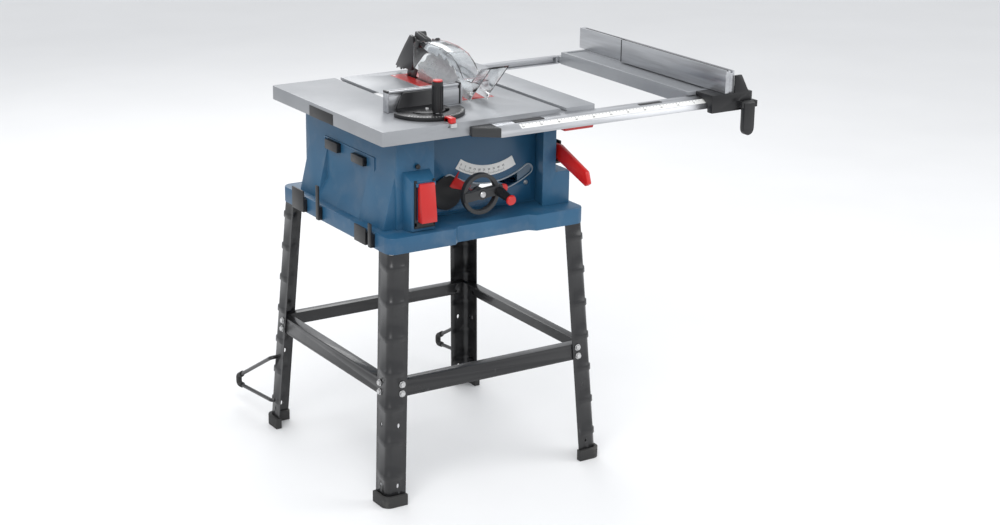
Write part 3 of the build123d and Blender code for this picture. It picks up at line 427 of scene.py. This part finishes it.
print("softened parts:", len(fine))


# the bevel turns about this line along Y
tiltAxis = {"x": 355, "z": 905}


def polarAt(reach, angle, y):
    turn = math.radians(angle)
    return at(tiltAxis["x"] + reach * math.sin(turn), y, tiltAxis["z"] - reach * math.cos(turn))


def lettering(name, marks, size, body, slot, finish="ink"):
    points = []
    faces = []
    for word, matrix in marks:
        curve = bpy.data.curves.new(name, "FONT")
        curve.body = word
        curve.size = size / 1000
        curve.align_x = "CENTER"
        curve.align_y = "CENTER"
        curve.extrude = 0.00015
        curve.resolution_u = 3
        holder = bpy.data.objects.new(name, curve)
        bpy.context.scene.collection.objects.link(holder)
        graph = bpy.context.evaluated_depsgraph_get()
        mesh = bpy.data.meshes.new_from_object(holder.evaluated_get(graph))
        start = len(points)
        points += [matrix @ vert.co for vert in mesh.vertices]
        faces += [[start + index for index in face.vertices] for face in mesh.polygons]
        bpy.data.objects.remove(holder)
    return keep(name, meshOf(points, faces, name), body, slot, finish)


# ------------------------------------------------ stand
legValues = {"topHalf": 270.0, "footX": 304.0, "footY": 311.0, "height": 610.0, "low": 4.0, "flat": 52.0,
             "corner": 14.0, "proud": 2.8, "firstBand": 72.0, "bandStep": 84.0, "bandHalf": 6.5,
             "blend": 3.0, "wall": 2.2, "bandReach": 38.0, "middleX": 292, "middleY": 278, "sharp": 50}
slotValues = {"heights": (50, 198), "inset": 30, "radius": 0.003, "depth": 0.03, "stretch": 1.9, "sides": 16}
standNodes = {"leg_front_left": (-1, -1), "leg_front_right": (1, -1),
              "leg_rear_left": (-1, 1), "leg_rear_right": (1, 1)}
quarter = math.radians(90)


def legHalf(z):
    v = legValues
    share = z / v["height"]
    return v["footX"] + (v["topHalf"] - v["footX"]) * share, v["footY"] + (v["topHalf"] - v["footY"]) * share


def legLevels():
    v = legValues
    levels = [(v["low"], 0.0)]
    middle = v["firstBand"]
    while middle < v["height"] - 15:
        for offset, rise in ((-v["bandHalf"] - v["blend"], 0), (-v["bandHalf"], 1), (v["bandHalf"], 1),
                             (v["bandHalf"] + v["blend"], 0)):
            levels.append((middle + offset, rise))
        middle += v["bandStep"]
    return levels + [(v["height"] - 0.5, 0.0)]


def legSection():
    v = legValues
    reach = v["bandReach"]
    flats = [v["flat"], reach + 4, reach, v["corner"] + 8, v["corner"]]
    section = [(flat, 0.0, 0.0 if flat > reach else 1.0, (0.0, 1.0)) for flat in flats]
    for step in range(1, 8):
        turn = math.radians(90 * step / 8)
        out = (math.sin(turn), math.cos(turn))
        section.append((v["corner"] * (1 - out[0]), v["corner"] * (1 - out[1]), 1.0, out))
    section += [(0.0, flat, 0.0 if flat > reach else 1.0, (1.0, 0.0)) for flat in reversed(flats)]
    return section


# upright oval slots near the foot, two on each flat of the angle
def cutSlots(piece, sideX, sideY):
    v = legValues
    c = slotValues
    drill = bpy.data.objects.new("drill", bpy.data.meshes.new("drill"))
    bpy.context.scene.collection.objects.link(drill)
    bm = bmesh.new()
    for z in c["heights"]:
        halfX, halfY = legHalf(z)
        front = at(v["middleX"] + sideX * (halfX - c["inset"]), v["middleY"] + sideY * halfY, z)
        flank = at(v["middleX"] + sideX * halfX, v["middleY"] + sideY * (halfY - c["inset"]), z)
        for axis, place in (("X", front), ("Y", flank)):
            turn = Matrix.Rotation(quarter, 3, axis)
            made = bmesh.ops.create_cone(bm, cap_ends=True, segments=c["sides"], radius1=c["radius"],
                                         radius2=c["radius"], depth=c["depth"])
            for vert in made["verts"]:
                vert.co = place + turn @ vert.co
                vert.co.z = place.z + (vert.co.z - place.z) * c["stretch"]
    bm.to_mesh(drill.data)
    bm.free()
    cut = piece.modifiers.new("slots", "BOOLEAN")
    cut.operation = "DIFFERENCE"
    cut.object = drill
    cut.solver = "EXACT"
    settle(piece)
    bpy.data.objects.remove(drill)


def makeLeg(node, sideX, sideY):
    v = legValues
    section = legSection()
    levels = legLevels()
    points = []
    faces = []
    for z, rise in levels:
        halfX, halfY = legHalf(z)
        for u, w, share, out in section:
            lift = v["proud"] * rise * share
            x = v["middleX"] + sideX * (halfX - u + out[0] * lift)
            y = v["middleY"] + sideY * (halfY - w + out[1] * lift)
            points.append(at(x, y, z))
    count = len(section)
    for row in range(len(levels) - 1):
        for column in range(count - 1):
            a = row * count + column
            faces.append((a, a + 1, a + count + 1, a + count))
    mesh = meshOf(points, faces, node)
    outward = Vector((sideX, sideY, 0))
    if mesh.polygons[len(mesh.polygons) // 2].normal.dot(outward) < 0:
        mesh.flip_normals()
    piece = keep("pressed_" + node, mesh, bodyOf(node), "stand_paint")
    skin = piece.modifiers.new("skin", "SOLIDIFY")
    skin.thickness = v["wall"] / 1000
    skin.offset = -1
    settle(piece)
    for face in piece.data.polygons:
        face.use_smooth = True
    piece.data.set_sharp_from_angle(angle=math.radians(v["sharp"]))
    cutSlots(piece, sideX, sideY)
    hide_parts(node)


for legNode, (sideX, sideY) in standNodes.items():
    makeLeg(legNode, sideX, sideY)
print("legs made")


def makeBolts():
    v = {"heights": (275, 297), "inset": 38, "washerOut": 1.2, "headOut": 3.8,
         "panelScrews": ((247, 688), (461, 701)), "panelHeadY": 110, "panelWasherY": 111.4}
    facing = (quarter, 0, 0)
    heads = []
    washers = []
    for sideX, sideY in standNodes.values():
        for z in v["heights"]:
            halfX, halfY = legHalf(z)
            middleX = legValues["middleX"]
            middleY = legValues["middleY"]
            front = ((halfX - v["inset"]) * sideX + middleX, halfY * sideY + middleY, facing, (0, sideY))
            flankY = (halfY - v["inset"]) * sideY + middleY
            flank = (halfX * sideX + middleX, flankY, (0, quarter, 0), (sideX, 0))
            for x, y, turn, out in (front, flank):
                washers.append((at(x + out[0] * v["washerOut"], y + out[1] * v["washerOut"], z), turn))
                heads.append((at(x + out[0] * v["headOut"], y + out[1] * v["headOut"], z), turn))
    for x, z in v["panelScrews"]:
        heads.append((at(x, v["panelHeadY"], z), facing, (0.7, 0.7, 0.8)))
        washers.append((at(x, v["panelWasherY"], z), facing, (0.7, 0.7, 0.7)))
    piece = repeated("hexHeads", heads, 6, {"Radius": 0.0066, "Height": 0.0045}, "stand_and_body",
                     "bright_steel", None, 0.5)
    repeated("boltWashers", washers, 24, {"Radius": 0.0082, "Height": 0.0014}, "stand_and_body",
             "bright_steel", None, 0.2)
    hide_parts("bolts")


makeBolts()


# ------------------------------------------------ front panel, scale and handwheel
def makeScaleMarks():
    values = {"zero": -30.5, "full": 45, "y": 110.35, "outer": 168.0, "numbers": 157.0}
    ticks = []
    for degree in range(values["full"] + 1):
        angle = values["zero"] + degree
        longer = 1.0 if degree % 5 == 0 else 0.5
        middle = values["outer"] - 3.0 * longer
        ticks.append((polarAt(middle, angle, values["y"]), (0, -math.radians(angle), 0), (1, 1, longer)))
    repeated("bevelTicks", ticks, 0, {"Length": 0.0007, "Width": 0.0003, "Height": 0.006}, "stand_and_body",
             "white_plate", "ink")
    marks = []
    for degree in range(0, values["full"] + 1, 5):
        angle = values["zero"] + degree
        place = Matrix.Translation(polarAt(values["numbers"], angle, values["y"]))
        turn = Matrix.Rotation(-math.radians(angle), 4, "Y") @ Matrix.Rotation(math.radians(90), 4, "X")
        marks.append((str(degree), place @ turn))
    lettering("bevelNumbers", marks, 7.0, "stand_and_body", "white_plate")


# centre line of the bevel slot, then its outline out along one side, round the end and back
def rimOutline():
    v = {"first": -34, "sweep": 67, "steps": 40, "reach": 203, "endSteps": 12}
    ring = []
    for step in range(v["steps"] + 1):
        turn = math.radians(v["first"] + v["sweep"] * step / v["steps"])
        x = tiltAxis["x"] + v["reach"] * math.sin(turn)
        z = tiltAxis["z"] - v["reach"] * math.cos(turn)
        ring.append((x, z, turn))
    outline = []
    for line, back in ((ring, 0), (ring[::-1], math.pi)):
        for x, z, turn in line:
            outline.append((x, z, (math.sin(turn + back), -math.cos(turn + back))))
        x, z, turn = line[-1]
        for step in range(1, v["endSteps"]):
            swing = turn + back + math.pi * step / v["endSteps"]
            outline.append((x, z, (math.sin(swing), -math.cos(swing))))
    return outline


def makeRim():
    # distance from the slot's centre line, and Y
    profile = ((11.2, 112), (11.2, 108.4), (14.2, 108.4), (14.2, 112))
    points = []
    outline = rimOutline()
    count = len(profile)
    for x, z, out in outline:
        for reach, y in profile:
            points.append(at(x + out[0] * reach, y, z + out[1] * reach))
    faces = []
    total = len(outline)
    for index in range(total):
        after = (index + 1) % total
        for row in range(count):
            down = (row + 1) % count
            here = index * count
            there = after * count
            faces.append((here + row, there + row, there + down, here + down))
    piece = keep("slotRim", meshOf(points, faces, "slotRim"), "stand_and_body", "blue_panel", "slotGrey")
    rounded(piece, 0.6)


finishes["slotGrey"] = moulded("slotGrey", (0.36, 0.40, 0.44), (0.30, 0.34, 0.38), 0.35)
makeScaleMarks()
makeRim()
# handwheel shaft in X and Z, and the knob's place from it
# each outline of a turned part is radius and height
wheelValues = {"x": 285.57, "z": 714.24, "knobX": 44.83, "knobZ": 3.92, "knobY": 30, "knobTurn": 101,
               "hubY": 29, "tipX": 360.57, "tipY": 54.5}
gripOutline = [(0, 2.5), (11.2, 2.5), (12.4, 4.5), (12.0, 12), (10.2, 30), (9.6, 44), (10.4, 50),
               (9.8, 52.6), (0, 52.6)]
capOutline = [(0, 52.7), (11.2, 52.7), (12.6, 54.5), (12.6, 57.5), (11.0, 60.2), (0, 60.6)]
hubOutline = [(0, 0), (7.5, 0), (7.5, 2.6), (6.3, 4.0), (0, 4.2)]
tipOutline = [(0, -3.6), (9.4, -3.6), (10.6, -2), (10.6, 2), (9.4, 3.6), (0, 3.6)]
w = wheelValues
wheelTurn = Matrix.Rotation(quarter, 3, "X")
knobTurn = Matrix.Rotation(math.radians(w["knobTurn"]), 3, "X")
knobPlace = at(w["x"] + w["knobX"], w["knobY"], w["z"] + w["knobZ"])
turned("crankGrip", gripOutline, knobPlace, knobTurn, "knob", "black_plastic")
turned("crankCap", capOutline, knobPlace, knobTurn, "knob", "red_plastic")
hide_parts("crank_knob")
turned("wheelHubCap", hubOutline, at(w["x"], w["hubY"], w["z"]), wheelTurn, "handwheel", "bright_steel")
turned("leverTip", tipOutline, at(w["tipX"], w["tipY"], w["z"]), wheelTurn, "lock", "red_plastic")
print("front controls made")


# ------------------------------------------------ printed scales on rail and mitre gauge
railScale = {"firstX": 350, "lastX": 940, "step": 10, "slope": 27.8, "rowY": -40.4, "rowZ": 887.3,
             "letters": 6.5}


def makeRailScale():
    v = railScale
    turn = (math.radians(v["slope"]), 0, 0)
    ticks = []
    marks = []
    for x in range(v["firstX"], v["lastX"] + 1, v["step"]):
        whole = (x - v["firstX"]) % (5 * v["step"]) == 0
        longer = 1.0 if whole else 0.5
        ticks.append((at(x, v["rowY"] + 4.6, v["rowZ"] + 2.5), turn, (1, longer, 1)))
        if whole:
            number = str((v["lastX"] - x) // v["step"])
            place = Matrix.Translation(at(x, v["rowY"] - 2.2, v["rowZ"] - 1.0))
            marks.append((number, place @ Matrix.Rotation(turn[0], 4, "X")))
    plate = [(at((v["firstX"] + v["lastX"]) / 2, v["rowY"], v["rowZ"] - 0.25), turn, (1, 1, 1))]
    length = (v["lastX"] - v["firstX"] + 14) / 1000
    repeated("railScalePlate", plate, 0, {"Length": length, "Width": 0.0160, "Height": 0.0004}, "extension",
             "white_plate")
    repeated("railTicks", ticks, 0, {"Length": 0.0008, "Width": 0.0052, "Height": 0.0004}, "extension",
             "rail_aluminium", "ink")
    lettering("railNumbers", marks, v["letters"], "extension", "rail_aluminium")


def makeMitreScale():
    v = {"x": 183, "y": 115, "z": 915.1, "radius": 83.0, "limit": 60}
    ticks = []
    for degree in range(-v["limit"], v["limit"] + 1, 5):
        turn = math.radians(degree)
        longer = 1.0 if degree % 15 == 0 else 0.55
        place = at(v["x"] + v["radius"] * math.sin(turn), v["y"] - v["radius"] * math.cos(turn), v["z"])
        ticks.append((place, (0, 0, turn), (1, longer, 1)))
    repeated("mitreTicks", ticks, 0, {"Length": 0.0008, "Width": 0.008, "Height": 0.0004}, "mitre_head",
             "black_plastic", "white_plate")


makeRailScale()
makeMitreScale()


# ------------------------------------------------ small fittings
def makeKnobRibs():
    v = {"x": 183, "y": 67, "low": 924, "high": 980, "top": 990, "radius": 12.5, "ribs": 14}
    ribs = []
    for index in range(v["ribs"]):
        turn = 2 * math.pi * index / v["ribs"]
        x = v["x"] + v["radius"] * math.cos(turn)
        y = v["y"] + v["radius"] * math.sin(turn)
        ribs.append((at(x, y, (v["low"] + v["high"]) / 2), (0, 0, turn), (1, 1, 1)))
    tall = (v["high"] - v["low"]) / 1000
    repeated("mitreKnobRibs", ribs, 0, {"Length": 0.0022, "Width": 0.0030, "Height": tall}, "mitre_knob",
             "black_plastic")
    cap = [(0, 0), (11.2, 0), (12.0, 1.2), (11.2, 3.6), (0, 4.2)]
    place = at(v["x"], v["y"], v["top"])
    turned("mitreKnobCap", cap, place, Matrix.Identity(3), "mitre_knob", "red_plastic")


def makeCarbideTips():
    v = {"x": 355, "y": 339, "z": 858, "radius": 125.2, "teeth": 24}
    tips = []
    for index in range(v["teeth"]):
        turn = 2 * math.pi * index / v["teeth"]
        place = at(v["x"], v["y"] + v["radius"] * math.cos(turn), v["z"] + v["radius"] * math.sin(turn))
        tips.append((place, (turn, 0, 0), (1, 1, 1)))
    repeated("carbideTips", tips, 0, {"Length": 0.0026, "Width": 0.0034, "Height": 0.0030}, "arbor",
             "bright_steel", "carbide")


def makeVents():
    v = {"columns": (170, 450), "rows": 6, "y": 514.2, "low": 770, "step": 11}
    slots = []
    for x in v["columns"]:
        for row in range(v["rows"]):
            slots.append((at(x, v["y"], v["low"] + v["step"] * row), (0, 0, 0), (1, 1, 1)))
    repeated("rearVents", slots, 0, {"Length": 0.046, "Width": 0.0010, "Height": 0.0045}, "stand_and_body",
             "black_plastic")


def makeInsertScrews():
    v = {"x": (320, 407), "y": (194, 508), "z": 905.1}
    spots = []
    for x in v["x"]:
        for y in v["y"]:
            spots.append((at(x, y, v["z"]), (0, 0, 0), (1, 1, 1)))
    repeated("insertScrews", spots, 20, {"Radius": 0.0034, "Height": 0.0005}, "stand_and_body",
             "bright_steel", None, 0.1)


# name: (low corner, high corner, body, slot, edge, finish)
fittings = {
    "guardRibOne": ((329.0, 300, 1006), (381.0, 303, 1009.5), "guard", "clear_guard", 0.4, None),
    "guardRibTwo": ((329.0, 270, 1000), (381.0, 273, 1003.5), "guard", "clear_guard", 0.4, None),
    "mitreStopLeft": ((101, 158, 906), (106, 178, 957), "mitre_head", "black_plastic", 0.8, None),
    "mitreStopRight": ((298, 158, 906), (303, 178, 957), "mitre_head", "black_plastic", 0.8, None),
    "fenceEndCap": ((920.5, 360, 907), (932.5, 364, 965.5), "fence_face", "black_plastic", 0.8, None),
    "tableBadge": ((-1.0, 237, 871), (0.4, 355, 897), "stand_and_body", "black_plastic", 0.4, None),
    "switchFrameLeft": ((96, 21.5, 664), (102.5, 25.4, 774), "stand_and_body", "black_plastic", 0.8, None),
    "switchFrameRight": ((145.5, 21.5, 664), (151, 25.4, 774), "stand_and_body", "black_plastic", 0.8, None),
    "switchFrameBottom": ((96, 21.5, 659), (151, 25.4, 674), "stand_and_body", "black_plastic", 0.8, None),
    "recessTop": ((67.6, 163, 798), (70.4, 409, 802), "stand_and_body", "blue_plastic", 0.8, None),
    "recessFront": ((67.6, 161, 702), (70.4, 165, 802), "stand_and_body", "blue_plastic", 0.8, None),
    "recessBack": ((67.6, 407, 702), (70.4, 411, 802), "stand_and_body", "blue_plastic", 0.8, None),
    "panelRibLeft": ((171.5, 107, 654), (174.5, 111.8, 870), "stand_and_body", "blue_panel", 0.6, None),
    "railPlate": ((338, -25.2, 893.0), (420, -6, 894.7), "extension", "rail_aluminium", 0.2, "ink"),
    # the slot strips below are thin black ink sheets standing in for the painted shade inside the grooves of
    # the rail, rip fence and mitre fence
    "railSlotShade": ((700, -23, 893.2), (766, -11, 894.6), "extension", "rail_aluminium", 0.2, "ink"),
    "fencePlateSlotShade": ((924.5, -72, 965), (928.5, 359, 965.3), "fence_face", "rail_aluminium", 0.0, "ink"),
    "fenceBodySlotShade": ((938.5, -60, 962), (943.5, 552, 962.3), "fence", "rail_aluminium", 0.0, "ink"),
    "mitreFenceSlotShade": ((106, 165.5, 955), (298, 170.5, 955.3), "mitre_head", "rail_aluminium", 0.0, "ink"),
    "mitrePointer": ((176, -4, 905.3), (190, 24, 918), "mitre_slide", "red_plastic", 0.8, None),
}
def makeFlatPlate(name, outline, low, high, body, slot):
    points = [at(x, y, z) for x in (low, high) for y, z in outline]
    count = len(outline)
    faces = [tuple(range(count)), tuple(reversed(range(count, 2 * count)))]
    for index in range(count):
        after = (index + 1) % count
        faces.append((index, index + count, after + count, after))
    mesh = meshOf(points, faces, name)
    bm = bmesh.new()
    bm.from_mesh(mesh)
    bmesh.ops.recalc_face_normals(bm, faces=bm.faces)
    bm.to_mesh(mesh)
    bm.free()
    rounded(keep(name, mesh, body, slot), 0.8)


# cover over the back of the blade, on the side of the spreader away from the pawls
# its lower edge stays clear of the table at the full bevel
coverOutline = [(466, 1015), (452, 1012), (446, 985), (450, 950), (458, 925), (538, 925), (520, 950),
                (492, 985)]
coverX = (339.5, 347.5)
makeFlatPlate("rearBladeCover", coverOutline, *coverX, "tilt", "black_steel")
makeKnobRibs()
makeCarbideTips()
makeVents()
makeInsertScrews()
# thin black disc standing in for the painted shade inside the round blue dish recess left of the handwheel
dishShadeOutline = [(0, 0), (40, 0), (41, 0.4), (0, 0.6)]
turned("wheelDishShade", dishShadeOutline, at(235, 107.2, 706), wheelTurn, "stand_and_body", "black_plastic")
for fitting, (low, high, body, slot, edge, finish) in fittings.items():
    slab(fitting, at(*low), at(*high), body, slot, edge, finish)
print("fittings made")


# ------------------------------------------------ floor, light and camera
def makeStage():
    bpy.ops.mesh.primitive_plane_add(size=60)
    floor = bpy.context.object
    s = Shader("studioFloor")
    s.set(Base_Color=s.mix(s.noise(2.0, 3.0), colour(0.80, 0.80, 0.80), colour(0.86, 0.86, 0.86)))
    s.base.inputs["Roughness"].default_value = 0.65
    floor.data.materials.append(s.material)
    world = bpy.data.worlds.new("studio")
    bpy.context.scene.world = world
    world.use_nodes = True
    world.node_tree.nodes["Background"].inputs[0].default_value = colour(0.95, 0.97, 1.0)
    world.node_tree.nodes["Background"].inputs[1].default_value = 0.85
    lamps = {"keyLight": ((-2.2, -2.4, 3.6), 2.6, 95), "fillLight": ((2.8, -2.0, 2.4), 2.4, 35),
             "backLight": ((0.5, 3.0, 3.0), 2.4, 50)}
    for name, (place, size, power) in lamps.items():
        lamp = bpy.data.lights.new(name, "AREA")
        lamp.size = size
        lamp.energy = power
        holder = bpy.data.objects.new(name, lamp)
        bpy.context.scene.collection.objects.link(holder)
        holder.location = place
        holder.rotation_euler = (Vector((0, 0, 0.6)) - Vector(place)).to_track_quat("-Z", "Y").to_euler()


def makeCamera():
    view = {"focal": 70.38, "place": (-2085.8, -3720.3, 1966.1), "yaw": 32.87, "pitch": 17.74, "roll": 0.866}
    lens = bpy.data.cameras.new("viewLens")
    lens.lens = view["focal"]
    lens.sensor_width = 36.0
    camera = bpy.data.objects.new("viewCamera", lens)
    bpy.context.scene.collection.objects.link(camera)
    camera.location = at(*view["place"])
    yaw = Matrix.Rotation(math.radians(-view["yaw"]), 3, "Z")
    pitch = Matrix.Rotation(math.radians(90 - view["pitch"]), 3, "X")
    roll = Matrix.Rotation(math.radians(view["roll"]), 3, "Z")
    camera.rotation_euler = (yaw @ pitch @ roll).to_euler()
    bpy.context.scene.camera = camera
    bpy.context.scene.view_settings.view_transform = "Standard"


makeStage()
makeCamera()
